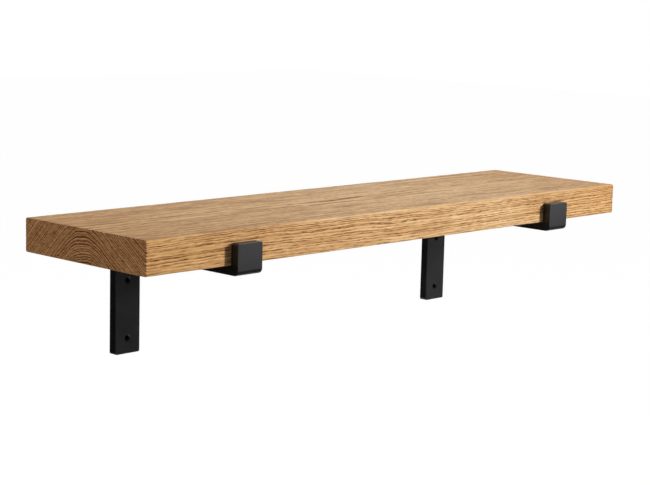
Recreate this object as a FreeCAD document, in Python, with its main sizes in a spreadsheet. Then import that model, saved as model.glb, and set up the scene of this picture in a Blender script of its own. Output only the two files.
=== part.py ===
import FreeCAD, Part
import Sketcher
import math
import os
from FreeCAD import Vector

# Wall shelf: one solid oak board on two black steel lip brackets.
# Each bracket is a single flat bar with two bends: the leg lies flat on the wall, the arm runs
# forward under the board, and the lip turns up in front of it. Two countersunk wood screws
# go up through each arm into the board.
# Frame, in millimetres: the origin is the middle of the four wall holes, on the wall.
# X runs along the shelf, Y goes into the wall and Z is up, so the shelf's front faces -Y.

# Driving dimensions: name, size and what it measures.
SIZES = [
    ("board_length", 900, "board, along the wall"),
    ("board_depth", 225, "board, from the wall to its front face"),
    ("board_thickness", 42, "board, height"),
    ("board_easing", 2, "radius sanded on every edge of the board"),
    ("bar_width", 40, "flat bar, width"),
    ("bar_thickness", 12, "flat bar, thickness"),
    ("bar_corner", 1.5, "radius on the corners of the bar's two ends"),
    ("bar_softening", 1, "radius along the edges of the bar that show"),
    ("bar_arris", 0.5, "chamfer along the edges against the wall and the board"),
    ("bend_radius", 1, "inside radius of both bends"),
    ("bend_outside", 7, "outside radius of both bends, which are pressed squarer than a free bend"),
    ("leg_length", 145, "leg's lower end, below the top of the arm"),
    ("lip_height", 27, "lip's upper end, above the top of the arm"),
    ("lip_gap", 0.3, "slack between the board and the lip's bend"),
    ("bracket_spacing", 600, "middle of one bracket to middle of the other"),
    ("wall_hole_bore", 7, "wall hole, diameter"),
    ("wall_hole_sink", 10, "wall hole, diameter of its broken edge in front"),
    ("wall_hole_end", 20, "lower wall hole, above the leg's lower end"),
    ("wall_hole_pitch", 75, "lower wall hole to upper wall hole"),
    ("sink_angle", 90, "every countersink and screw head, full angle in degrees"),
    ("screw_bore", 5, "screw hole in the arm, diameter"),
    ("screw_rear_inset", 50, "rear screw, in front of the wall"),
    ("screw_front_inset", 50, "front screw, behind the lip"),
    ("screw_shank", 4.5, "board screw, diameter of the shank"),
    ("screw_head", 9, "board screw, diameter of the head"),
    ("screw_length", 35, "board screw, head to point"),
    ("screw_point", 7, "board screw, length of the tapered point"),
    ("screw_recess", 0.3, "board screw, head below the face of the arm"),
    ("drive_span", 4.6, "cross in the screw head, tip to tip"),
    ("drive_slot", 1.3, "cross in the screw head, width of a slot"),
    ("drive_depth", 1.8, "cross in the screw head, depth"),
    ("pilot_slack", 0.05, "pilot hole in the board, all round the shank"),
    ("pilot_spare", 3, "pilot hole in the board, past the screw's point"),
]

SAME_PLACE = 1e-6

doc = FreeCAD.newDocument("bracket_wall_shelf")
dims = doc.addObject("Spreadsheet::Sheet", "dims")
for row, (name, size, meaning) in enumerate(SIZES, start=1):
    dims.set(f"A{row}", name)
    dims.set(f"B{row}", str(size))
    dims.set(f"C{row}", meaning)
    dims.setAlias(f"B{row}", name)
doc.recompute()

# Sizes that follow from the driving ones. The board rests on the arm clear of the lip's bend,
# because its eased lower edge is sharper than the bend.
LIP_FACE = "(dims.board_depth + dims.lip_gap + max(dims.bend_radius - dims.board_easing; 0))"
ARM_TOP = "(dims.leg_length - dims.wall_hole_end - dims.wall_hole_pitch / 2)"
REAR_SCREW = "dims.screw_rear_inset"
FRONT_SCREW = f"({LIP_FACE} - dims.screw_front_inset)"
SCREW_SINK = "(dims.screw_head + 2 * dims.screw_recess * tan(dims.sink_angle / 2))"
SCREW_CONE = "((dims.screw_head - dims.screw_shank) / 2 / tan(dims.sink_angle / 2))"
SCREW_HEAD_FACE = "(dims.bar_thickness - dims.screw_recess)"
PILOT_BORE = "(dims.screw_shank + 2 * dims.pilot_slack)"
PILOT_DEPTH = f"(dims.screw_length - {SCREW_HEAD_FACE} + dims.pilot_spare)"

# The points of a line or an arc, and a sketch's own axes and origin
START, END, CENTRE = range(1, 4)
H_AXIS, V_AXIS = range(-1, -3, -1)
ORIGIN = (H_AXIS, START)


def amount(expression):
    return float(dims.evalExpression(expression))


def add_body(label):
    body = doc.addObject("PartDesign::Body", label)
    body.Label = label
    return body


def origin_feature(body, role):
    return next(feature for feature in body.Origin.OriginFeatures if feature.Role == role)


def add_sketch(body, name, plane, lift=None):
    sketch = body.newObject("Sketcher::SketchObject", f"{body.Label}_{name}")
    sketch.AttachmentSupport = [(origin_feature(body, plane), "")]
    sketch.MapMode = "FlatFace"
    if lift:
        sketch.setExpression("AttachmentOffset.Base.z", lift)
    return sketch


def add_feature(body, kind, name, **sizes):
    feature = body.newObject(f"PartDesign::{kind}", f"{body.Label}_{name}")
    for size, expression in sizes.items():
        feature.setExpression(size, expression)
    return feature


def constrain(sketch, kind, *places):
    sketch.addConstraint(Sketcher.Constraint(kind, *places))


def dimension(sketch, kind, places, expression):
    index = sketch.addConstraint(Sketcher.Constraint(kind, *places, amount(expression)))
    sketch.setExpression(f"Constraints[{index}]", expression)


def draw_lines(sketch, points):
    ends = points[1:] + points[:1]
    first = len(sketch.Geometry)
    for start, end in zip(points, ends):
        sketch.addGeometry(Part.LineSegment(Vector(*start), Vector(*end)))
    lines = list(range(first, first + len(points)))
    for line, following in zip(lines, lines[1:] + lines[:1]):
        constrain(sketch, "Coincident", line, END, following, START)
    return lines


def draw_rectangle(sketch, left, bottom, right, top):
    lines = draw_lines(sketch, [(left, bottom), (right, bottom), (right, top), (left, top)])
    for line in (lines[0], lines[2]):
        constrain(sketch, "Horizontal", line)
    for line in (lines[1], lines[3]):
        constrain(sketch, "Vertical", line)
    return lines


# Circles of one size on the sketch's vertical axis, each a given distance below the origin
def draw_holes_below(sketch, diameter, distances):
    for distance in distances:
        centre = Vector(0, -amount(distance), 0)
        hole = sketch.addGeometry(Part.Circle(centre, Vector(0, 0, 1), amount(diameter) / 2))
        constrain(sketch, "PointOnObject", hole, CENTRE, V_AXIS)
        dimension(sketch, "DistanceY", (hole, CENTRE, *ORIGIN), distance)
        dimension(sketch, "Diameter", (hole,), diameter)


def every_edge(shape):
    return [f"Edge{index}" for index in range(1, len(shape.Edges) + 1)]


# Edges that cross the bar's thickness at its two square ends
def end_corner_edges(shape):
    ends = (shape.BoundBox.ZMin, shape.BoundBox.ZMax)
    names = []
    for name, edge in zip(every_edge(shape), shape.Edges):
        box = edge.BoundBox
        at_end = any(abs(box.ZMin - end) < SAME_PLACE for end in ends)
        if at_end and box.YLength > SAME_PLACE > max(box.XLength, box.ZLength):
            names.append(name)
    return names


# The leg's upright edges in one of its two faces. The bends are smooth, so a fillet or chamfer
# that starts there runs on all round that side of the bar.
def upright_edges(shape, face):
    names = []
    for name, edge in zip(every_edge(shape), shape.Edges):
        box = edge.BoundBox
        in_face = max(abs(box.YMin - face), abs(box.YMax - face)) < SAME_PLACE
        if in_face and box.ZLength > SAME_PLACE > box.XLength:
            names.append(name)
    return names


def soften(body, kind, name, base, edges, **size):
    feature = add_feature(body, kind, name, **size)
    feature.Base = (base, edges)
    doc.recompute()
    return feature


def add_countersunk_holes(body, name, sketch, bore, sink, reversed_side):
    doc.recompute()
    hole = body.newObject("PartDesign::Hole", f"{body.Label}_{name}")
    hole.Profile = sketch
    hole.Reversed = reversed_side
    hole.ThreadType = "None"
    hole.DepthType = "ThroughAll"
    hole.HoleCutType = "Countersink"
    hole.HoleCutCustomValues = True
    hole.setExpression("HoleCutCountersinkAngle", "dims.sink_angle")
    hole.setExpression("Diameter", bore)
    hole.setExpression("HoleCutDiameter", sink)
    return hole


# The plank, drawn from above with its back edge on the wall, and its four pilot holes
def make_board():
    body = add_body("oak_board")
    outline = add_sketch(body, "outline", "XY_Plane")
    half = amount("dims.board_length") / 2
    depth = amount("dims.board_depth")
    bottom, right, top = draw_rectangle(outline, -half, -depth, half, 0)[:3]
    constrain(outline, "Symmetric", top, START, top, END, *ORIGIN)
    dimension(outline, "DistanceX", (bottom, START, bottom, END), "dims.board_length")
    dimension(outline, "DistanceY", (right, START, right, END), "dims.board_depth")
    plank = add_feature(body, "Pad", "plank", Length="dims.board_thickness")
    plank.Profile = outline
    doc.recompute()
    edges = every_edge(plank.Shape)
    soften(body, "Fillet", "eased_edges", plank, edges, Radius="dims.board_easing")

    pilots = add_sketch(body, "pilot_centres", "XY_Plane")
    radius = amount(PILOT_BORE) / 2
    reach = amount("dims.bracket_spacing") / 2
    for distance in (REAR_SCREW, FRONT_SCREW):
        pair = []
        for side in (-1, 1):
            centre = Vector(side * reach, -amount(distance), 0)
            pair.append(pilots.addGeometry(Part.Circle(centre, Vector(0, 0, 1), radius)))
        constrain(pilots, "Symmetric", pair[0], CENTRE, pair[1], CENTRE, V_AXIS)
        dimension(pilots, "DistanceX", (pair[0], CENTRE, pair[1], CENTRE), "dims.bracket_spacing")
        dimension(pilots, "DistanceY", (pair[0], CENTRE, *ORIGIN), distance)
        for pilot in pair:
            dimension(pilots, "Diameter", (pilot,), PILOT_BORE)
    drilling = add_feature(body, "Pocket", "pilot_holes", Length=PILOT_DEPTH)
    drilling.Profile = pilots
    drilling.Reversed = True
    body.setExpression("Placement.Base.z", ARM_TOP)
    return body


# The bent bar seen from its end, with the wall on the sketch's vertical axis and the top of
# the arm on its horizontal axis. Each bend is a small arc inside and a larger one outside.
def draw_bracket_profile(sketch):
    leg = amount("dims.leg_length")
    lip = amount("dims.lip_height")
    bar = amount("dims.bar_thickness")
    inner = amount("dims.bend_radius")
    outer = amount("dims.bend_outside")
    face = amount(LIP_FACE)
    rear_out = Vector(-outer, -outer, 0)
    rear_in = Vector(-bar - inner, -bar - inner, 0)
    front_in = Vector(inner - face, inner, 0)
    front_out = Vector(outer - face - bar, outer - bar, 0)

    def line(start, end):
        return sketch.addGeometry(Part.LineSegment(Vector(*start), Vector(*end)))

    def bend(centre, radius, first, last):
        circle = Part.Circle(centre, Vector(0, 0, 1), radius)
        return sketch.addGeometry(Part.ArcOfCircle(circle, math.radians(first), math.radians(last)))

    leg_back = line((0, -leg), (0, rear_out.y))
    rear_outer = bend(rear_out, outer, 0, 90)
    arm_top = line((rear_out.x, 0), (front_in.x, 0))
    front_inner = bend(front_in, inner, 180, 270)
    lip_back = line((-face, front_in.y), (-face, lip))
    lip_end = line((-face, lip), (-face - bar, lip))
    lip_front = line((-face - bar, lip), (-face - bar, front_out.y))
    front_outer = bend(front_out, outer, 180, 270)
    arm_under = line((front_out.x, -bar), (rear_in.x, -bar))
    rear_inner = bend(rear_in, inner, 0, 90)
    leg_front = line((-bar, rear_in.y), (-bar, -leg))
    leg_end = line((-bar, -leg), (0, -leg))

    for upright in (leg_back, lip_back, lip_front, leg_front):
        constrain(sketch, "Vertical", upright)
    for level in (arm_top, lip_end, arm_under, leg_end):
        constrain(sketch, "Horizontal", level)
    corners = [(lip_back, lip_end), (lip_end, lip_front), (leg_front, leg_end), (leg_end, leg_back)]
    for before, after in corners:
        constrain(sketch, "Coincident", before, END, after, START)
    smooth = [
        (leg_back, END, rear_outer, START),
        (rear_outer, END, arm_top, START),
        (arm_top, END, front_inner, END),
        (front_inner, START, lip_back, START),
        (lip_front, END, front_outer, START),
        (front_outer, END, arm_under, START),
        (arm_under, END, rear_inner, END),
        (rear_inner, START, leg_front, START),
    ]
    for places in smooth:
        constrain(sketch, "Tangent", *places)

    constrain(sketch, "PointOnObject", leg_back, START, V_AXIS)
    constrain(sketch, "PointOnObject", arm_top, START, H_AXIS)
    dimension(sketch, "DistanceY", (leg_back, START, *ORIGIN), "dims.leg_length")
    dimension(sketch, "DistanceX", (leg_end, START, leg_end, END), "dims.bar_thickness")
    dimension(sketch, "DistanceX", (lip_end, END, lip_end, START), "dims.bar_thickness")
    dimension(sketch, "DistanceY", (arm_under, START, arm_top, END), "dims.bar_thickness")
    dimension(sketch, "DistanceX", (lip_back, END, *ORIGIN), LIP_FACE)
    dimension(sketch, "DistanceY", (*ORIGIN, lip_back, END), "dims.lip_height")
    for arc in (rear_inner, front_inner):
        dimension(sketch, "Radius", (arc,), "dims.bend_radius")
    for arc in (rear_outer, front_outer):
        dimension(sketch, "Radius", (arc,), "dims.bend_outside")


def make_bracket(label, place_along_wall):
    body = add_body(label)
    profile = add_sketch(body, "profile", "YZ_Plane")
    draw_bracket_profile(profile)
    bar = add_feature(body, "Pad", "bent_bar", Length="dims.bar_width")
    bar.Profile = profile
    bar.SideType = "Symmetric"
    doc.recompute()
    edges = end_corner_edges(bar.Shape)
    corners = soften(body, "Fillet", "end_corners", bar, edges, Radius="dims.bar_corner")
    edges = upright_edges(corners.Shape, -amount("dims.bar_thickness"))
    soft = soften(body, "Fillet", "soft_edges", corners, edges, Radius="dims.bar_softening")
    edges = upright_edges(soft.Shape, 0)
    soften(body, "Chamfer", "arrises", soft, edges, Size="dims.bar_arris")

    wall_holes = add_sketch(body, "wall_hole_centres", "XZ_Plane", "dims.bar_thickness")
    lower = "(dims.leg_length - dims.wall_hole_end)"
    upper = f"({lower} - dims.wall_hole_pitch)"
    draw_holes_below(wall_holes, "dims.wall_hole_bore", (lower, upper))
    add_countersunk_holes(
        body, "wall_holes", wall_holes, "dims.wall_hole_bore", "dims.wall_hole_sink", False)

    screw_holes = add_sketch(body, "screw_hole_centres", "XY_Plane", "-dims.bar_thickness")
    draw_holes_below(screw_holes, "dims.screw_bore", (REAR_SCREW, FRONT_SCREW))
    add_countersunk_holes(body, "screw_holes", screw_holes, "dims.screw_bore", SCREW_SINK, True)
    body.setExpression("Placement.Base.x", place_along_wall)
    body.setExpression("Placement.Base.z", ARM_TOP)
    return body


# A countersunk wood screw, turned about Z with its head down, and the cross cut in its head
def make_screw(label, place_along_wall, distance_from_wall):
    body = add_body(label)
    profile = add_sketch(body, "profile", "XZ_Plane")
    head = amount("dims.screw_head") / 2
    shank = amount("dims.screw_shank") / 2
    length = amount("dims.screw_length")
    shoulder = length - amount("dims.screw_point")
    points = [(0, 0), (head, 0), (shank, amount(SCREW_CONE)), (shank, shoulder), (0, length)]
    face, cone, side, point, axis = draw_lines(profile, points)
    constrain(profile, "Coincident", face, START, *ORIGIN)
    constrain(profile, "Horizontal", face)
    constrain(profile, "Vertical", side)
    constrain(profile, "Vertical", axis)
    dimension(profile, "DistanceX", (face, START, face, END), "dims.screw_head / 2")
    dimension(profile, "DistanceX", (*ORIGIN, side, START), "dims.screw_shank / 2")
    dimension(profile, "DistanceY", (cone, START, cone, END), SCREW_CONE)
    dimension(profile, "DistanceY", (*ORIGIN, axis, START), "dims.screw_length")
    dimension(profile, "DistanceY", (point, START, point, END), "dims.screw_point")
    turned = body.newObject("PartDesign::Revolution", f"{label}_turned")
    turned.Profile = profile
    turned.ReferenceAxis = (profile, ["V_Axis"])
    turned.Angle = 360

    slot = add_sketch(body, "drive_slot", "XY_Plane")
    span = amount("dims.drive_span") / 2
    wide = amount("dims.drive_slot") / 2
    bottom, right, top = draw_rectangle(slot, -span, -wide, span, wide)[:3]
    constrain(slot, "Symmetric", bottom, START, top, START, *ORIGIN)
    dimension(slot, "DistanceX", (bottom, START, bottom, END), "dims.drive_span")
    dimension(slot, "DistanceY", (right, START, right, END), "dims.drive_slot")
    cut = add_feature(body, "Pocket", "drive_cut", Length="dims.drive_depth")
    cut.Profile = slot
    cut.Reversed = True
    cross = body.newObject("PartDesign::PolarPattern", f"{label}_drive_cross")
    cross.Originals = [cut]
    cross.Axis = (origin_feature(body, "Z_Axis"), [""])
    cross.Angle = 90
    cross.Occurrences = 2
    body.Tip = cross
    body.setExpression("Placement.Base.x", place_along_wall)
    body.setExpression("Placement.Base.y", f"-{distance_from_wall}")
    body.setExpression("Placement.Base.z", f"{ARM_TOP} - {SCREW_HEAD_FACE}")
    return body


sides = {"left": "-dims.bracket_spacing / 2", "right": "dims.bracket_spacing / 2"}
screws = {"front": FRONT_SCREW, "rear": REAR_SCREW}
bodies = [make_board()]
for side, place_along_wall in sides.items():
    bodies.append(make_bracket(f"{side}_bracket", place_along_wall))
    for position, distance_from_wall in screws.items():
        bodies.append(make_screw(f"{side}_{position}_board_screw", place_along_wall, distance_from_wall))
doc.recompute()

for item in doc.Objects:
    if "Invalid" in item.State or "Error" in item.State:
        raise RuntimeError(f"{item.Label} failed: {item.State}")
for body in bodies:
    if body.Shape.isNull() or not body.Shape.isValid():
        raise RuntimeError(f"{body.Label} has no valid shape")

os.makedirs("parts", exist_ok=True)
for body in bodies:
    body.Shape.exportStep(f"parts/{body.Label}.step")
    box = body.Shape.optimalBoundingBox()
    print(f"{body.Label}: {body.Shape.Volume / 1000:.2f} cm3, solids {len(body.Shape.Solids)},",
          f"x {box.XMin:.1f} to {box.XMax:.1f}, y {box.YMin:.1f} to {box.YMax:.1f},",
          f"z {box.ZMin:.1f} to {box.ZMax:.1f}")
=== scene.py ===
import math

import bmesh
import bpy
import numpy as np
from mathutils import Matrix, Vector


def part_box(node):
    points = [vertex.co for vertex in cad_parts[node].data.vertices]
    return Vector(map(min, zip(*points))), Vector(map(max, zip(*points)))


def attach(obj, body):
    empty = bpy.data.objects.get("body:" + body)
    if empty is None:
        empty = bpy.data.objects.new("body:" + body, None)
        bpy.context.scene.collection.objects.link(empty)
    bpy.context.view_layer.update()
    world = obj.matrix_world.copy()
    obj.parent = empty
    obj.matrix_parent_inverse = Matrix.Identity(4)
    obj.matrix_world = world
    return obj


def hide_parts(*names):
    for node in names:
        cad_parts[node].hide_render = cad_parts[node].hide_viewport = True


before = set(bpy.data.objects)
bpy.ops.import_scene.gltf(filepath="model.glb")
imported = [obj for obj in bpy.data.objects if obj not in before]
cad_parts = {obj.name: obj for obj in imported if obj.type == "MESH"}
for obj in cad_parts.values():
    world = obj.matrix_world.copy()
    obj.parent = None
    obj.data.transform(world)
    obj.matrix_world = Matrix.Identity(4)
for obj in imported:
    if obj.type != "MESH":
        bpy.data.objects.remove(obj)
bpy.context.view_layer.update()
mm = 0.001  # the scene is in metres, every size below in millimetres
print("frame:", ", ".join(sorted(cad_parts)))


# small helpers

def linear(hexColour):
    # sRGB hex to linear RGBA
    parts = np.array([int(hexColour[i:i + 2], 16) for i in (1, 3, 5)]) / 255
    values = np.where(parts <= 0.04045, parts / 12.92, ((parts + 0.055) / 1.055) ** 2.4)
    return (*values.tolist(), 1.0)


def addNode(tree, kind, links=None, stops=None, **settings):
    # one node: settings are its own properties, links fill its sockets with values, sockets or whole nodes
    made = tree.nodes.new("ShaderNode" + kind)
    for name, value in settings.items():
        setattr(made, name, value)
    if stops:
        ramp = made.color_ramp.elements
        while len(ramp) < len(stops):
            ramp.new(1.0)
        for element, (position, colour) in zip(ramp, stops):
            element.position = position
            element.color = colour if isinstance(colour, tuple) else (colour, colour, colour, 1.0)
    for key, value in (links or {}).items():
        socket = made.inputs[key] if isinstance(key, int) else next(
            s for s in made.inputs if s.enabled and s.name == key)
        if isinstance(value, bpy.types.Node):
            value = next(s for s in value.outputs if s.enabled)
        if isinstance(value, bpy.types.NodeSocket):
            tree.links.new(value, socket)
        else:
            socket.default_value = value
    return made


def startMaterial(name):
    material = bpy.data.materials.new(name)
    material.use_nodes = True
    material.node_tree.nodes.clear()
    return material, material.node_tree


def addObject(name, data):
    made = bpy.data.objects.new(name, data)
    bpy.context.scene.collection.objects.link(made)
    return made


def shadeSmooth(mesh):
    mesh.polygons.foreach_set("use_smooth", np.ones(len(mesh.polygons), bool))


def gridFaces(rows, columns):
    # quads of a grid of points numbered row by row, whose last column joins the first
    row, column = np.meshgrid(np.arange(rows - 1), np.arange(columns), indexing="ij")
    after = (column + 1) % columns
    low, high = row * columns, (row + 1) * columns
    return np.stack([low + column, low + after, high + after, high + column], -1).reshape(-1, 4)


def addMesh(name, points, faces, material):
    mesh = bpy.data.meshes.new(name)
    mesh.from_pydata(points.tolist(), [], faces)
    shadeSmooth(mesh)
    mesh.materials.append(material)
    mesh.update()
    return addObject(name, mesh)


# flat-sawn oak

oakLook = {
    "paleWood": "#F3CF9F",       # dense late wood between the pores
    "earlyWood": "#8F541D",      # porous start of each year's ring
    "pore": "#452107",           # open pores, drawn 1.6 mm wide so that they show, real ones are 0.3 mm
    "soak": ("#FDF5FF", "#B6A3A2"),  # end grain drinks more oil, its late wood little, its early wood more
    "pith": (-108.0, 84.0),      # mm, where the tree's heart lies across and below the plank
    "ringSlope": 0.82,           # how steeply the rings fall away from the heart
    "ringLean": 0.14,            # how much more steeply towards the wall than towards the front
    "archFlat": 13.0,            # mm the rings fall on either side before they turn from their flat top
    "ripples": (                 # mm, length, width and height of each, and how far it pushes the grain
        ((300, 80, 80), 9.0), ((60, 18, 18), 3.0), ((15, 4, 4), 1.4)),
    "ringWidth": 3.3,            # mm, one year's growth
    "growth": (9.0, 5.0),        # mm, spells of wide and narrow years, and how far they shift a ring
    "year": (                    # darkness through one year's ring, from its start to its end
        (0.0, 0.1), (0.07, 1.0), (0.3, 0.9), (0.52, 0.15), (0.9, 0.0), (1.0, 0.1)),
    "yearStrength": (0.36, 1.1),  # weakest and strongest year
    "breaks": (24.0, 3.6, 3.6),  # mm, length, width and height of the stretches in which a ring line fades
    "breakNoise": (0.36, 0.6),   # noise below which a line is faded, and above which it is whole
    "fadedLine": 0.4,            # what is left of a faded line
    "endLine": 0.95,             # lines on the end grain, which don't fade
    "pores": (11.0, 1.6, 1.6),   # mm
    "poreNoise": (0.46, 0.6),    # noise above which a pore starts, and at which it is full
    "latePores": 0.14,           # share of the pores that late wood keeps
    "tones": (                   # mm and detail of each noise, where it starts and ends, and its darkest tone
        ((60.0, 1.6, 1.6), 3.0, (0.3, 0.7), "#EEEBE6"),       # fibres
        ((75.0, 9.0, 2.4), 2.0, (0.46, 0.68), "#DDCFBC"),     # flecks
        ((380.0, 10.0, 2.5), 2.0, (0.54, 0.74), "#DFD0BC"),   # streaks
        ((240.0, 24.0, 12.0), 2.0, (0.3, 0.7), "#F3EFE8"),    # clouds
    ),
    "leanYears": (13.0, (0.3, 0.7), "#F7F3ED"),   # mm, good and lean spells of several years
    "paintedFalloff": (                   # mm, painted shade along the plank: darker and warmer towards both ends, standing in for light that falls off there
        (-450, "#ECDCC1"), (-100, "#FAF5EE"), (200, "#F9F8F6"), (450, "#E7DAC3")),
    "hollows": (0.3, 0.7),       # shares of the bump that the ring lines and the pores take
    "bump": 0.12,                # mm, depth of the hollows
    "roughness": (0.58, 0.78),   # on dense wood and in the pores
    "ior": 1.46,
    "specular": 0.4,             # the oil lies thin
}


def grainNoise(tree, grain, size, detail):
    # noise drawn out along the plank, size being its length, width and height in mm
    drawn = addNode(tree, "VectorMath", {0: grain, 1: size}, operation="DIVIDE")
    return addNode(tree, "TexNoise", {"Vector": drawn, "Scale": 1.0, "Detail": detail})


def flatSawnOak(look):
    # planed flat-sawn oak under hard-wax oil: wavy dark pore lines on pale wood, arches on the end and a
    # soft sheen
    material, tree = startMaterial("flat_sawn_oak_oiled")
    place = addNode(tree, "TexCoord").outputs["Object"]
    endGrain = addNode(tree, "Attribute", attribute_name="endGrain").outputs["Fac"]

    # the trunk bends and ripples: noise of several sizes pushes the grain sideways
    grain = addNode(tree, "VectorMath", {0: place, 3: 1 / mm}, operation="SCALE")
    for size, push in look["ripples"]:
        ripple = grainNoise(tree, grain, size, 2.0).outputs["Color"]
        centred = addNode(tree, "VectorMath", {0: ripple, 1: (0.5, 0.5, 0.5)}, operation="SUBTRACT")
        grain = addNode(tree, "VectorMath", {0: centred, 1: (0, push, push), 2: grain},
                        operation="MULTIPLY_ADD")

    # ring distance: leaning height above the heart plus the fall across, blunted on top by the fourth root
    # of the sum of fourth powers
    fromHeart = addNode(tree, "VectorMath", {0: grain, 1: (0, *look["pith"])}, operation="SUBTRACT")
    height = addNode(tree, "VectorMath", {0: fromHeart, 1: (0, look["ringLean"], 1)}, operation="DOT_PRODUCT")
    fall = addNode(tree, "VectorMath", {0: fromHeart, 1: (0, look["ringSlope"], 0)}, operation="DOT_PRODUCT")
    steep = addNode(tree, "Math", {0: fall, 1: 4.0}, operation="POWER")
    blunt = addNode(tree, "Math", {0: steep, 1: look["archFlat"] ** 4}, operation="ADD")
    arch = addNode(tree, "Math", {0: blunt, 1: 0.25}, operation="POWER")
    distance = addNode(tree, "Math", {0: arch, 1: height}, operation="ADD")

    # each year starts with a dark porous line, wide or narrow, strong or weak, that fades here and there
    spell, shift = look["growth"]
    years = addNode(tree, "TexNoise", {"W": distance, "Scale": 1 / spell, "Detail": 1.0},
                    noise_dimensions="1D")
    uneven = addNode(tree, "Math", {0: years, 1: shift, 2: distance}, operation="MULTIPLY_ADD")
    ring = addNode(tree, "Math", {0: uneven, 1: look["ringWidth"]}, operation="DIVIDE")
    age = addNode(tree, "Math", {0: ring}, operation="FRACT")
    year = addNode(tree, "Math", {0: ring}, operation="FLOOR")
    strength = addNode(tree, "TexWhiteNoise", {"W": year}, noise_dimensions="1D").outputs["Value"]
    early = addNode(tree, "ValToRGB", {"Fac": age}, stops=look["year"])
    weakest, strongest = look["yearStrength"]
    earlyShare = addNode(tree, "MapRange", {"Value": strength, "To Min": weakest, "To Max": strongest})
    low, high = look["breakNoise"]
    fading = addNode(tree, "MapRange", {"Value": grainNoise(tree, grain, look["breaks"], 1.0),
                                        "From Min": low, "From Max": high,
                                        "To Min": look["fadedLine"], "To Max": 1.0})
    whole = addNode(tree, "Mix", {"Factor": endGrain, "A": fading, "B": look["endLine"]})
    lines = addNode(tree, "Math", {0: early, 1: earlyShare}, operation="MULTIPLY")
    ringTone = addNode(tree, "Math", {0: lines, 1: whole}, operation="MULTIPLY")

    # pores sit in the early wood and lie along the grain
    low, high = look["poreNoise"]
    pores = addNode(tree, "MapRange", {"Value": grainNoise(tree, grain, look["pores"], 1.0),
                                       "From Min": low, "From Max": high}, interpolation_type="SMOOTHSTEP")
    poreShare = addNode(tree, "MapRange", {"Value": ringTone, "To Min": look["latePores"], "To Max": 1.0})
    poreTone = addNode(tree, "Math", {0: pores, 1: poreShare}, operation="MULTIPLY")

    # colour: pale wood, early wood and pores
    paleWood, earlyWood, pore = (linear(look[part]) for part in ("paleWood", "earlyWood", "pore"))
    wood = addNode(tree, "Mix", {"Factor": ringTone, "A": paleWood, "B": earlyWood}, data_type="RGBA")
    shaded = addNode(tree, "Mix", {"Factor": poreTone, "A": wood, "B": pore}, data_type="RGBA")

    # softer changes of tone, each redder as it darkens: fibres, flecks, streaks, clouds and lean years
    noises = [(grainNoise(tree, grain, size, detail), span, darkest)
              for size, detail, span, darkest in look["tones"]]
    spell, span, darkest = look["leanYears"]
    lean = addNode(tree, "TexNoise", {"W": distance, "Scale": 1 / spell, "Detail": 1.0},
                   noise_dimensions="1D")
    noises.append((lean, span, darkest))
    for noise, (low, high), darkest in noises:
        tone = addNode(tree, "ValToRGB", {"Fac": noise}, stops=((low, 1.0), (high, linear(darkest))))
        shaded = addNode(tree, "VectorMath", {0: shaded, 1: tone}, operation="MULTIPLY")

    # painted shade from end to end, darker towards both ends as the light falls off there, and end grain
    # darker with oil
    first, last = look["paintedFalloff"][0][0], look["paintedFalloff"][-1][0]
    along = addNode(tree, "SeparateXYZ", {0: grain}).outputs["X"]
    share = addNode(tree, "MapRange", {"Value": along, "From Min": first, "From Max": last})
    paintedFalloff = addNode(tree, "ValToRGB", {"Fac": share}, stops=[
        ((spot - first) / (last - first), linear(tone)) for spot, tone in look["paintedFalloff"]])
    shaded = addNode(tree, "VectorMath", {0: shaded, 1: paintedFalloff}, operation="MULTIPLY")
    lateSoak, earlySoak = (linear(tone) for tone in look["soak"])
    soaked = addNode(tree, "Mix", {"Factor": ringTone, "A": lateSoak, "B": earlySoak}, data_type="RGBA")
    oiled = addNode(tree, "Mix", {"Factor": endGrain, "A": shaded, "B": soaked},
                    data_type="RGBA", blend_type="MULTIPLY")

    # relief and gloss: pores are hollow and dull, late wood is dense and smoother
    lineDepth, poreDepth = look["hollows"]
    dents = addNode(tree, "Math", {0: ringTone, 1: lineDepth}, operation="MULTIPLY")
    hollow = addNode(tree, "Math", {0: poreTone, 1: poreDepth, 2: dents}, operation="MULTIPLY_ADD")
    relief = addNode(tree, "Bump", {"Height": hollow, "Strength": 1.0, "Distance": look["bump"] * mm},
                     invert=True)
    smooth, dull = look["roughness"]
    gloss = addNode(tree, "MapRange", {"Value": hollow, "To Min": smooth, "To Max": dull})
    shader = addNode(tree, "BsdfPrincipled", {"Base Color": oiled, "Roughness": gloss, "Normal": relief,
                                              "IOR": look["ior"], "Specular IOR Level": look["specular"]})
    addNode(tree, "OutputMaterial", {"Surface": shader})
    return material


# the plank

plank = {
    "easing": 2.0,       # mm, mean radius of the eased long edges
    "easingDrift": 0.7,  # mm, how far the radius wanders along an edge, as sanding by hand leaves it
    "waves": (70.0, 163.0, 410.0),   # mm, lengths of that wandering
    "seed": 7,           # each edge wanders in its own way
    "leastEasing": 0.05,  # mm, where the rounding of the ends draws the radius in
    "endEasing": 1.3,    # mm, radius round the sawn ends
    "rowStep": 5.0,      # mm between rows along the plank
    "arcSteps": 6,       # spans in each eased edge
    "support": 0.5,      # mm, flat strip beside each eased edge
    "soakIn": 0.6,       # mm, how far in from the ends the wood is dark with oil
    "faceStep": 22.0,    # mm between points across the faces
}


def easedRadius(stations, size):
    # radius of four long edges along the plank: the mean plus three slow sine waves, each edge with its own
    # phases
    rng = np.random.default_rng(size["seed"])
    waves = np.array(size["waves"])
    phases = rng.uniform(0, 2 * np.pi, (4, len(waves)))
    swing = np.sin(2 * np.pi * stations[:, None, None] / waves + phases).mean(-1)
    return size["easing"] + size["easingDrift"] * swing


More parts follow.
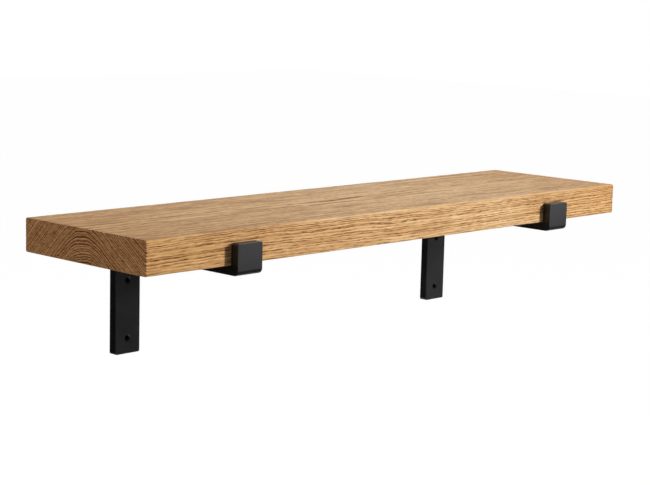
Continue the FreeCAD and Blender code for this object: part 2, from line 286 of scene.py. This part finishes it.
def makePlank(size, material):
    # rounded rectangle carried along X: corner centre plus radius times (cos, sin), drawn in by 1 - cos at
    # the ends
    low, high = (np.array(corner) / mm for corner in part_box("oak_board"))
    middle, half = (low + high) / 2, (high - low) / 2
    turn = np.linspace(0, np.pi / 2, size["arcSteps"] + 1)
    flat = half[0] - size["endEasing"]
    innerRows = int(2 * flat / size["rowStep"])
    inner = np.linspace(-1, 1, innerRows) * (flat - 2 * size["soakIn"])
    edge = flat - size["soakIn"] * np.array([0, 1])
    straight = np.concatenate([-edge, inner, edge[::-1]])
    rounding = half[0] - size["endEasing"] * (1 - np.sin(turn[1:]))
    x = np.concatenate([[-half[0]], -rounding[::-1], straight, rounding, [half[0]]])
    inset = size["endEasing"] * (1 - np.cos(turn[1:]))
    last = size["endEasing"] + size["support"]
    inset = np.concatenate([[last], inset[::-1], np.zeros(len(straight)), inset, [last]])
    ends = np.clip((np.abs(x) - inner[-1]) / size["soakIn"], 0, 1)

    radius = np.maximum(easedRadius(x, size) - inset[:, None], size["leastEasing"])
    reach = half[None, 1:] - inset[:, None]
    profile = []
    for corner, (sideY, sideZ) in enumerate(((1, 1), (-1, 1), (-1, -1), (1, -1))):
        r = radius[:, corner, None]
        angle = turn + corner * np.pi / 2
        profile.append(np.stack([sideY * (reach[:, :1] - r) + r * np.cos(angle),
                                 sideZ * (reach[:, 1:] - r) + r * np.sin(angle)], -1))
    outline = []
    for corner in range(4):
        start, stop = profile[corner][:, -1:], profile[(corner + 1) % 4][:, :1]
        span = np.abs(stop - start).sum(-1)[0, 0]
        count = max(2, int(span / size["faceStep"]))
        spots = np.linspace(size["support"], span - size["support"], count) / span
        outline += [profile[corner], start + (stop - start) * spots[None, :, None]]
    outline = np.concatenate(outline, 1)
    rows, columns = len(x), outline.shape[1]
    stations = np.broadcast_to(x[:, None, None], (rows, columns, 1))
    points = np.concatenate([stations, outline], -1) + middle
    faces = gridFaces(rows, columns)
    caps = [list(range(columns))[::-1], list(range((rows - 1) * columns, rows * columns))]
    board = addMesh("oak_plank", points.reshape(-1, 3) * mm, faces.tolist() + caps, material)
    shown = board.data.attributes.new("endGrain", "FLOAT", "POINT")
    shown.data.foreach_set("value", np.repeat(ends, columns))
    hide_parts("oak_board")
    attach(board, "root")
    print("plank:", rows, "rows of", columns, "points")


# black powder coat

coatLook = {
    "coat": "#111112",
    "rubbed": "#191919",        # faintly greyer where the film is thin
    "thinFilm": (0.15, 0.4),    # noise from which the film thins, and at which it is thinnest
    "peel": 1.6,                # mm, orange peel drawn a little coarser than the real 0.8 mm so that it shows
    "speckle": 0.7,             # mm
    "cloud": 45.0,              # mm
    "cloudNoise": (0.3, 0.7),   # noise between which the clouds change the gloss
    "bump": 0.03,               # mm
    "roughness": (0.42, 0.52),  # least and most, as the clouds go
    "ior": 1.55,
}


def blackPowderCoat(look):
    # polyester powder baked on bent steel: deep satin black with fine orange peel and a soft, slightly
    # cloudy sheen
    material, tree = startMaterial("black_powder_coat_satin")
    place = addNode(tree, "TexCoord").outputs["Object"]
    peel = addNode(tree, "TexNoise", {"Vector": place, "Scale": 1 / (look["peel"] * mm), "Detail": 2.0})
    speckle = addNode(tree, "TexNoise", {"Vector": place, "Scale": 1 / (look["speckle"] * mm), "Detail": 1.0})
    cloud = addNode(tree, "TexNoise", {"Vector": place, "Scale": 1 / (look["cloud"] * mm), "Detail": 3.0})
    thin = addNode(tree, "Math", {0: speckle, 1: cloud}, operation="MULTIPLY")
    low, high = look["thinFilm"]
    share = addNode(tree, "MapRange", {"Value": thin, "From Min": low, "From Max": high})
    colour = addNode(tree, "Mix", {"Factor": share, "A": linear(look["coat"]), "B": linear(look["rubbed"])},
                     data_type="RGBA")
    low, high = look["cloudNoise"]
    smooth, dull = look["roughness"]
    gloss = addNode(tree, "MapRange", {"Value": cloud, "From Min": low, "From Max": high,
                                       "To Min": smooth, "To Max": dull})
    relief = addNode(tree, "Bump", {"Height": peel, "Strength": 1.0, "Distance": look["bump"] * mm})
    shader = addNode(tree, "BsdfPrincipled", {"Base Color": colour, "Roughness": gloss, "Normal": relief,
                                              "IOR": look["ior"]})
    addNode(tree, "OutputMaterial", {"Surface": shader})
    return material


# brackets with filed corners

filing = {
    "radius": 3.5,     # mm, corners of the cut ends, at the foot of the leg and on top of the lip
    "strokes": 7,      # flats that make up each round corner
    "crease": 28.0,    # degrees, edges sharper than this stay crisp
    "weld": 0.0001,    # mm, points nearer than this are one
    "hair": 0.00001,   # mm, points nearer than this to a cut lie on it
}


def fileCorners(name, size, material):
    # copy of the bent bar, cut at each end corner by planes that touch the arc: centre plus radius times
    # (cos, sin)
    low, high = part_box(name)
    radius = size["radius"] * mm
    bar = bmesh.new()
    bar.from_mesh(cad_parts[name].data)
    bmesh.ops.remove_doubles(bar, verts=bar.verts, dist=size["weld"] * mm)
    turns = np.linspace(0, np.pi / 2, size["strokes"] + 2)[1:-1]
    for sideX, sideZ in ((-1, -1), (1, -1), (1, 1), (-1, 1)):
        outer = Vector((high[0] if sideX > 0 else low[0], 0, high[2] if sideZ > 0 else low[2]))
        centre = outer - radius * Vector((sideX, 0, sideZ))
        for turn in turns:
            away = Vector((sideX * math.cos(turn), 0, sideZ * math.sin(turn)))
            cut = bmesh.ops.bisect_plane(bar, geom=[*bar.verts, *bar.edges, *bar.faces],
                                         dist=size["hair"] * mm, plane_co=centre + radius * away,
                                         plane_no=away, clear_outer=True)
            rim = [part for part in cut["geom_cut"] if isinstance(part, bmesh.types.BMEdge)]
            bmesh.ops.edgenet_fill(bar, edges=rim)
    bmesh.ops.recalc_face_normals(bar, faces=bar.faces)
    mesh = bpy.data.meshes.new(name + "_filed")
    bar.to_mesh(mesh)
    bar.free()
    if "custom_normal" in mesh.attributes:    # belonged to the uncut bar
        mesh.attributes.remove(mesh.attributes["custom_normal"])
    shadeSmooth(mesh)
    mesh.set_sharp_from_angle(angle=math.radians(size["crease"]))
    mesh.materials.clear()
    mesh.materials.append(material)
    piece = addObject(name + "_filed", mesh)
    even = piece.modifiers.new("flat faces stay flat", "WEIGHTED_NORMAL")
    even.keep_sharp = True
    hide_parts(name)
    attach(piece, "root")
    print("bracket:", name, len(mesh.polygons), "faces")


# zinc-plated screws

zincLook = {
    "zinc": "#B9BCC0",
    "dull": "#8E9196",
    "cloud": 2.5,               # mm
    "roughness": (0.25, 0.45),  # least and most, as the clouds go
    "turning": 0.35,            # mm between turning marks, drawn coarser than the real 0.1 mm
    "bump": 0.003,              # mm
}


def zincPlate(look):
    # bright zinc plate over cold-formed steel: cool grey metal with faint rings from the die and cloudy
    # passivation
    material, tree = startMaterial("zinc_plate_passivated")
    place = addNode(tree, "TexCoord").outputs["Object"]
    cloud = addNode(tree, "TexNoise", {"Vector": place, "Scale": 1 / (look["cloud"] * mm), "Detail": 3.0})
    colour = addNode(tree, "Mix", {"Factor": cloud, "A": linear(look["zinc"]), "B": linear(look["dull"])},
                     data_type="RGBA")
    smooth, dull = look["roughness"]
    gloss = addNode(tree, "MapRange", {"Value": cloud, "To Min": smooth, "To Max": dull})
    fromAxis = addNode(tree, "Attribute", attribute_name="fromAxis").outputs["Fac"]
    turned = addNode(tree, "Math", {0: fromAxis, 1: 2 * math.pi / look["turning"]}, operation="MULTIPLY")
    rings = addNode(tree, "Math", {0: turned}, operation="SINE")
    relief = addNode(tree, "Bump", {"Height": rings, "Strength": 1.0, "Distance": look["bump"] * mm})
    shader = addNode(tree, "BsdfPrincipled", {"Base Color": colour, "Metallic": 1.0, "Roughness": gloss,
                                              "Normal": relief})
    addNode(tree, "OutputMaterial", {"Surface": shader})
    return material


# board screws, which show their heads from below

screw = {
    "columns": 96,        # points round the axis
    "coneRows": 14,       # rows on the cone under the head
    "neckRows": 12,       # rows on the plain neck
    "rim": 0.1,           # mm, broken edge of the head
    "shank": 1.65,        # mm, radius of the plain neck and of the core
    "crest": 2.25,        # mm, radius over the thread
    "crestPower": 3,      # more makes the thread narrower
    "pitch": 2.0,         # mm
    "neck": 11.0,         # mm from the face of the head to the first thread
    "runIn": 3.0,         # mm in which the thread grows to its full height
    "point": 7.0,         # mm, tapered end
    "threadStep": 0.16,   # mm between rows on the thread
    "faceStep": 0.1,      # mm between rows on the face of the head
    "span": 4.6,          # mm across the cross recess
    "slot": 1.3,          # mm, width of its slots
    "depth": 1.8,         # mm
    "wall": 0.25,         # mm over which the sides of the recess slope
    "ramp": 0.9,          # mm over which its four ends slope
    "firstTwist": 0.4,    # radians at which the first screw stops, each stops at its own angle
    "nextTwist": 1.1,     # radians from one screw to the next
}


def crossDepth(across, along, size):
    # depth of the recess: two crossed slots, each falling from its rim at the slope of its sides and ends
    def slotShare(u, v):
        ends = (size["span"] / 2 - np.abs(u)) / size["ramp"]
        sides = (size["slot"] / 2 - np.abs(v)) / size["wall"]
        return np.minimum(ends, sides)

    deepest = np.maximum(slotShare(across, along), slotShare(along, across))
    return size["depth"] * np.clip(deepest, 0, 1)


def makeScrew(name, twist, size, material):
    # profile turned round the axis; radius on the thread = core + height times a power of a raised cosine,
    # whose phase is the height in pitches less the share of the turn
    low, high = (np.array(corner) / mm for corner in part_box(name))
    head, length = (high[0] - low[0]) / 2, high[2] - low[2]
    rim, shank, crest = size["rim"], size["shank"], size["crest"]
    faceRadius = np.arange(size["faceStep"], head - rim, size["faceStep"])
    coneRadius = np.linspace(head - rim / 3, shank, size["coneRows"])
    neckHeight = np.linspace(head - shank, size["neck"], size["neckRows"])[1:-1]
    threadHeight = np.arange(size["neck"], length - size["threadStep"], size["threadStep"])
    core = np.full(len(neckHeight) + len(threadHeight), shank)
    radius = np.concatenate([faceRadius, [head - rim], coneRadius, core])
    height = np.concatenate([0 * faceRadius, [0], head - coneRadius, neckHeight, threadHeight])

    angle = np.linspace(0, 2 * np.pi, size["columns"], endpoint=False)
    taper = np.clip((length - height) / size["point"], 0, 1)[:, None]
    grown = np.clip((height[:, None] - size["neck"]) / size["runIn"], 0, 1)
    phase = height[:, None] / size["pitch"] - angle / (2 * np.pi)
    ridge = (crest - shank) * grown * (0.5 + 0.5 * np.cos(2 * np.pi * phase)) ** size["crestPower"]
    outward = (radius[:, None] + ridge) * np.where(height[:, None] > size["neck"], taper, 1)
    onFace = (np.arange(len(height)) < len(faceRadius))[:, None]
    across, along = outward * np.cos(angle), outward * np.sin(angle)
    sunk = np.where(onFace, crossDepth(across, along, size), 0)
    turn = angle + twist
    grid = np.stack([outward * np.cos(turn), outward * np.sin(turn), height[:, None] + sunk], -1)
    poles = np.array([[0, 0, size["depth"]], [0, 0, length]])
    middle = np.array([(low[0] + high[0]) / 2, (low[1] + high[1]) / 2, low[2]])
    points = np.concatenate([grid.reshape(-1, 3), poles]) + middle

    rows, columns = outward.shape
    ring = np.arange(columns)
    after = (ring + 1) % columns
    lastRow = (rows - 1) * columns
    facePole = np.full(columns, rows * columns)
    tipPole = facePole + 1
    faces = gridFaces(rows, columns).tolist()
    faces += np.stack([facePole, after, ring], -1).tolist()
    faces += np.stack([lastRow + ring, lastRow + after, tipPole], -1).tolist()
    piece = addMesh(name + "_threaded", points * mm, faces, material)
    shown = piece.data.attributes.new("fromAxis", "FLOAT", "POINT")
    shown.data.foreach_set("value", np.concatenate([outward.ravel(), [0, 0]]))
    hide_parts(name)
    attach(piece, "root")
    print("screw:", name, rows, "rows of", columns, "points")


oak = flatSawnOak(oakLook)
coat = blackPowderCoat(coatLook)
zinc = zincPlate(zincLook)
print("finishes: oak, powder coat, zinc")

makePlank(plank, oak)
screwNames = sorted(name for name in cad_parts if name.endswith("_screw"))
for number, name in enumerate(screwNames):
    makeScrew(name, screw["firstTwist"] + screw["nextTwist"] * number, screw, zinc)
for name in sorted(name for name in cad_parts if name.endswith("_bracket")):
    fileCorners(name, filing, coat)


# floor, world and lights

studio = {
    "floorDrop": 900.0,   # mm the floor lies below the wall holes, a wall shelf hangs well above it
    "floorSize": 30000.0,  # mm
    "floor": "#BEBEBC",
    "floorWhite": 0.85,   # share of plain white that the camera sees in the floor, the rest keeps the shadow
    "floorGlow": 1.16,    # strength of that white, so that the lit floor reaches 1 as the sky does
    "skyLevel": 0.03,     # soft light from all round
    "lamps": (            # mm and watts; reflections show the edge light alone, so the oiled top has no glare
        {"name": "key_softbox", "place": (2080, -2960, 940), "aim": (0, -150, 100),
         "size": 500, "power": 161},
        {"name": "top_softbox", "place": (500, 200, 2200), "aim": (100, -110, 130),
         "size": 1400, "power": 25.8, "tint": (0.95, 1.0, 1.03)},
        {"name": "end_softbox", "place": (-2400, 100, 350), "aim": (-450, -110, 110),
         "size": 700, "power": 13},
        {"name": "back_softbox", "place": (-700, 2300, 700), "aim": (0, 0, 80),
         "size": 900, "power": 27},
        {"name": "edge_softbox", "place": (1000, -400, 1100), "aim": (0, -200, 100),
         "size": 500, "power": 10, "mirrored": True},
    ),
    "card": "#050505",
    "cards": (            # black cards that only reflections see, width and height in mm
        {"place": (-800, 450, 80), "aim": (0, -100, 80), "size": (4000, 4000)},   # for the left sides
        {"place": (0, -310, -100), "aim": (0, 0, -100), "size": (1700, 310)},     # for the legs
        {"place": (0, -270, -150), "aim": (0, -270, 0), "size": (1500, 170)},     # for the lower bends
        {"place": (150, 60, 0), "aim": (150, 0, 0), "size": (1300, 180)},         # for the wall holes
    ),
}


def cameraSees(tree):
    # 1 for rays that the camera, mirrors or glass send out, 0 for the light that falls on things
    path = addNode(tree, "LightPath")
    seen = path.outputs["Is Camera Ray"]
    for kind in ("Is Glossy Ray", "Is Transmission Ray"):
        seen = addNode(tree, "Math", {0: seen, 1: path.outputs[kind]}, operation="MAXIMUM")
    return seen


def faceTowards(place, aim):
    # stands at place and turns its -Z towards aim
    turn = (Vector(aim) - Vector(place)).to_track_quat("-Z", "Y")
    return Matrix.Translation(Vector(place) * mm) @ turn.to_matrix().to_4x4()


def addCard(name, size, material, pose):
    # flat rectangle round its own centre, stood at its pose
    corners = np.array([(-1, -1, 0), (1, -1, 0), (1, 1, 0), (-1, 1, 0)]) * (*size, 0) / 2 * mm
    card = addMesh(name, corners, [(0, 1, 2, 3)], material)
    card.matrix_world = pose
    return card


def makeFloor(room):
    # pale floor, white to the camera where light reaches it, clear from below so that the shelf can be seen
    # from there
    material, tree = startMaterial("pale_studio_floor")
    matte = addNode(tree, "BsdfDiffuse", {"Color": linear(room["floor"])})
    white = addNode(tree, "Emission", {"Color": (1, 1, 1, 1), "Strength": room["floorGlow"]})
    share = addNode(tree, "Math", {0: cameraSees(tree), 1: room["floorWhite"]}, operation="MULTIPLY")
    lit = addNode(tree, "MixShader", {0: share, 1: matte, 2: white})
    clear = addNode(tree, "BsdfTransparent")
    below = addNode(tree, "NewGeometry").outputs["Backfacing"]
    shown = addNode(tree, "MixShader", {0: below, 1: lit, 2: clear})
    addNode(tree, "OutputMaterial", {"Surface": shown})
    side = room["floorSize"]
    addCard("studio_floor", (side, side), material, Matrix.Translation((0, 0, -room["floorDrop"] * mm)))


def makeWorld(room):
    # white to the camera, dim for the light that falls on things
    world = bpy.data.worlds.new("white_studio")
    world.use_nodes = True
    tree = world.node_tree
    tree.nodes.clear()
    level = addNode(tree, "MapRange", {"Value": cameraSees(tree), "To Min": room["skyLevel"], "To Max": 1.0})
    sky = addNode(tree, "Background", {"Color": (1, 1, 1, 1), "Strength": level})
    addNode(tree, "OutputWorld", {"Surface": sky})
    bpy.context.scene.world = world


def makeLights(room):
    for soft in room["lamps"]:
        lamp = bpy.data.lights.new(soft["name"], "AREA")
        lamp.shape = "SQUARE"
        lamp.size = soft["size"] * mm
        lamp.energy = soft["power"]
        lamp.color = soft.get("tint", (1, 1, 1))
        made = addObject(soft["name"], lamp)
        made.matrix_world = faceTowards(soft["place"], soft["aim"])
        made.visible_camera = False
        made.visible_glossy = soft.get("mirrored", False)
        made.visible_diffuse = not made.visible_glossy


def makeCards(room):
    material, tree = startMaterial("black_card")
    matte = addNode(tree, "BsdfDiffuse", {"Color": linear(room["card"])})
    addNode(tree, "OutputMaterial", {"Surface": matte})
    for number, card in enumerate(room["cards"]):
        pose = faceTowards(card["place"], card["aim"])
        flag = addCard(f"dark_card_{number}", card["size"], material, pose)
        flag.visible_camera = False
        flag.visible_diffuse = False
        flag.visible_shadow = False


makeFloor(studio)
makeWorld(studio)
makeLights(studio)
makeCards(studio)
print("studio: floor, world, soft boxes and dark cards")


# camera, worked out from the plank's corners in the photograph

camera = {
    "place": (-1695.6, -1710.6, 433.7),   # mm
    "yaw": 45.910,                        # degrees from +Y towards +X
    "pitch": -8.880,
    "roll": 1.431,
    "focal": 1746.5,                      # in pixels of the picture
    "pictureWidth": 650,                  # pixels
    "sensor": 36.0,                       # mm
}


def makeCamera(view):
    # looks along forward, with right and up turned by the roll
    yaw, pitch, roll = (math.radians(view[angle]) for angle in ("yaw", "pitch", "roll"))
    right = Vector((math.cos(yaw), -math.sin(yaw), 0))
    forward = Vector((math.sin(yaw) * math.cos(pitch), math.cos(yaw) * math.cos(pitch), math.sin(pitch)))
    up = right.cross(forward)
    axisX = math.cos(roll) * right + math.sin(roll) * up
    axisY = -math.sin(roll) * right + math.cos(roll) * up
    turn = Matrix((axisX, axisY, -forward)).transposed().to_4x4()
    lens = bpy.data.cameras.new("photo_camera")
    lens.sensor_width = view["sensor"]
    lens.lens = view["focal"] / view["pictureWidth"] * view["sensor"]
    made = addObject("photo_camera", lens)
    made.matrix_world = Matrix.Translation(Vector(view["place"]) * mm) @ turn
    bpy.context.scene.camera = made


makeCamera(camera)
print("camera: photo side")
bpy.context.scene.view_settings.view_transform = "Standard"

bpy.context.view_layer.update()
